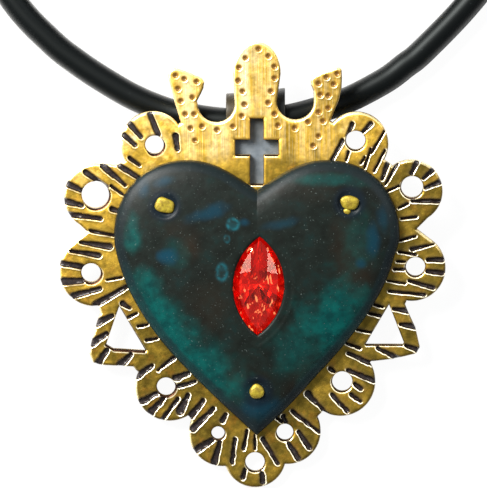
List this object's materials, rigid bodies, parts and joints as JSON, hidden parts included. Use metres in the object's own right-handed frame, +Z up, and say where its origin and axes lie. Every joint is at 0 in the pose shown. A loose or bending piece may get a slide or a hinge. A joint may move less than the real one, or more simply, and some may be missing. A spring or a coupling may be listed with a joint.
{
  "type": "sacred heart pendant",
  "caption": "Handmade heart pendant: pierced brass plate with chased scallops, riveted domed copper heart, red pointed oval stone, folded strip bail on a rubber cord.",
  "frame": {"origin": "middle of the pendant's own box, on the surface that it lies on", "axes": "+Z up, +Y from the heart's tip towards the crown and the bail, +X to the right as the front is seen"},
  "size_m": [0.0735, 0.0924, 0.0073],
  "materials": {
    "brass_plate": "brushed, with dark oxide in the chased strokes",
    "patinated_copper": "copper with a dark blue-green patina",
    "red_stone": "faceted and polished, foil backed",
    "rivet_brass": "hammered",
    "bail_brass": "oxidised dark",
    "cord_rubber": "satin",
    "fitting_brass": "polished"
  },
  "bodies": {
    "root": {"backplate": "brass_plate", "heart": "patinated_copper", "stone": "red_stone", "rivet_left": "rivet_brass", "rivet_right": "rivet_brass", "rivet_bottom": "rivet_brass", "bail": "bail_brass", "cord": "cord_rubber", "coil_left": "cord_rubber", "coil_right": "cord_rubber", "cord_end_left": "cord_rubber", "cord_end_right": "cord_rubber", "cap_hook": "fitting_brass", "cap_eye": "fitting_brass"}
  },
  "joints": []
}
